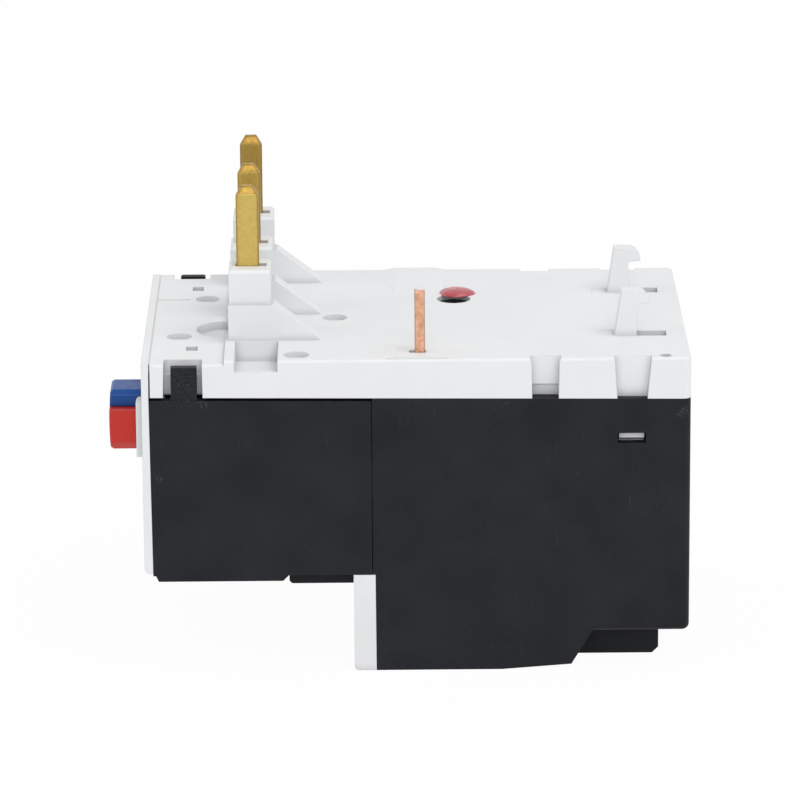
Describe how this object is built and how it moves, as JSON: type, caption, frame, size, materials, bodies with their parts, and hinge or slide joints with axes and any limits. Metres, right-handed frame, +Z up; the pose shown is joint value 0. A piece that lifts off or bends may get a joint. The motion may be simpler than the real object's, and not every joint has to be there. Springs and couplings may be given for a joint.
{
  "type": "thermal overload relay",
  "caption": "Plug-on thermal overload relay: black box with white cover, brass contactor blades, catches, setting dial, reset and stop buttons.",
  "frame": {"origin": "centre of the overall box at the bottom, on the surface that the relay stands on", "axes": "+Z up towards the contactor, -Y towards the operator's face, +X to the operator's right"},
  "size_m": [0.045, 0.074, 0.0609],
  "materials": {
    "white_plastic": "fine satin moulding",
    "black_plastic": "fine satin moulding",
    "clear_plastic": "clear polycarbonate",
    "dial_plastic": "satin moulding",
    "red_plastic": "semi-gloss moulding",
    "blue_plastic": "semi-gloss moulding",
    "spring_steel": "bright wire",
    "frame_plastic": "natural moulding",
    "bimetal": "rolled strip",
    "flag_plastic": "moulding",
    "contact_brass": "stamped strip",
    "zinc_steel": "zinc plated",
    "heater_alloy": "rolled ribbon",
    "brass": "rolled strip with sheared edges",
    "copper": "rolled copper strip",
    "lacquer": "hardened lacquer"
  },
  "bodies": {
    "housing": {"top_cover": "white_plastic", "front_cover": "white_plastic", "terminal_cover": "white_plastic", "front_case": "black_plastic", "rear_case": "black_plastic", "stop_spring": "spring_steel", "reset_spring": "spring_steel", "mechanism_frame": "frame_plastic", "lever_pin": "spring_steel", "auxiliary_screws": "zinc_steel", "auxiliary_washers": "zinc_steel", "load_screws": "zinc_steel", "auxiliary_pin": "copper", "calibration_screw": "black_plastic", "sealing_lacquer": "lacquer", "auxiliary_terminal_1": "contact_brass", "auxiliary_terminal_2": "contact_brass", "auxiliary_terminal_3": "contact_brass", "auxiliary_terminal_4": "contact_brass", "line_blade_1": "brass", "bimetal_1": "bimetal", "heater_1": "heater_alloy", "load_bar_1": "contact_brass", "cage_clamp_1": "zinc_steel", "line_blade_2": "brass", "bimetal_2": "bimetal", "heater_2": "heater_alloy", "load_bar_2": "contact_brass", "cage_clamp_2": "zinc_steel", "line_blade_3": "brass", "bimetal_3": "bimetal", "heater_3": "heater_alloy", "load_bar_3": "contact_brass", "cage_clamp_3": "zinc_steel"},
    "stop_button": {"stop_button": "red_plastic"},
    "reset_button": {"reset_button": "blue_plastic"},
    "clear_cover": {"clear_cover": "clear_plastic"},
    "setting_dial": {"setting_dial": "dial_plastic"},
    "test_slider": {"test_slider": "dial_plastic"},
    "trip_lever": {"trip_lever": "bimetal", "trip_flag": "flag_plastic"},
    "contact_carrier": {"contact_carrier": "frame_plastic", "contact_bridge_nc": "contact_brass", "contact_bridge_no": "contact_brass"},
    "trip_slider": {"trip_slider": "frame_plastic"},
    "differential_slider": {"differential_slider": "frame_plastic"}
  },
  "joints": [
    {"name": "stop_press", "type": "slide", "parent": "housing", "child": "stop_button", "axis": [0, 1, 0], "range_m": [0, 0.002], "stiffness_N_per_m": 400, "deforming": ["stop_spring"]},
    {"name": "reset_press", "type": "slide", "parent": "housing", "child": "reset_button", "axis": [0, 1, 0], "range_m": [0, 0.002], "stiffness_N_per_m": 300, "deforming": ["reset_spring"]},
    {"name": "cover_hinge", "type": "hinge", "parent": "housing", "child": "clear_cover", "pos_m": [-0.02, -0.03168, 0.0315], "axis": [0, 0, -1], "range_deg": [0, 95]},
    {"name": "dial_turn", "type": "hinge", "parent": "housing", "child": "setting_dial", "pos_m": [-0.0125, -0.03078, 0.0315], "axis": [0, 1, 0], "range_deg": [-135, 135]},
    {"name": "test_slide", "type": "slide", "parent": "housing", "child": "test_slider", "axis": [-1, 0, 0], "range_m": [0, 0.0015], "stiffness_N_per_m": 200},
    {"name": "trip_slide", "type": "slide", "parent": "housing", "child": "trip_slider", "axis": [1, 0, 0], "range_m": [0, 0.002], "stiffness_N_per_m": 200},
    {"name": "differential_slide", "type": "slide", "parent": "housing", "child": "differential_slider", "axis": [1, 0, 0], "range_m": [0, 0.002]},
    {"name": "lever_turn", "type": "hinge", "parent": "housing", "child": "trip_lever", "pos_m": [-0.0032, -0.01427, 0.0341], "axis": [0, 0, -1], "range_deg": [0, 12.2]},
    {"name": "carrier_slide", "type": "slide", "parent": "housing", "child": "contact_carrier", "axis": [0, 1, 0], "range_m": [0, 0.0016]}
  ],
  "couplings": [
    {"joint": "differential_slide", "follows": "trip_slide", "ratio": 1},
    {"joint": "lever_turn", "follows": "trip_slide", "rad_per_m": 105.25},
    {"joint": "carrier_slide", "follows": "trip_slide", "ratio": 0.8}
  ]
}
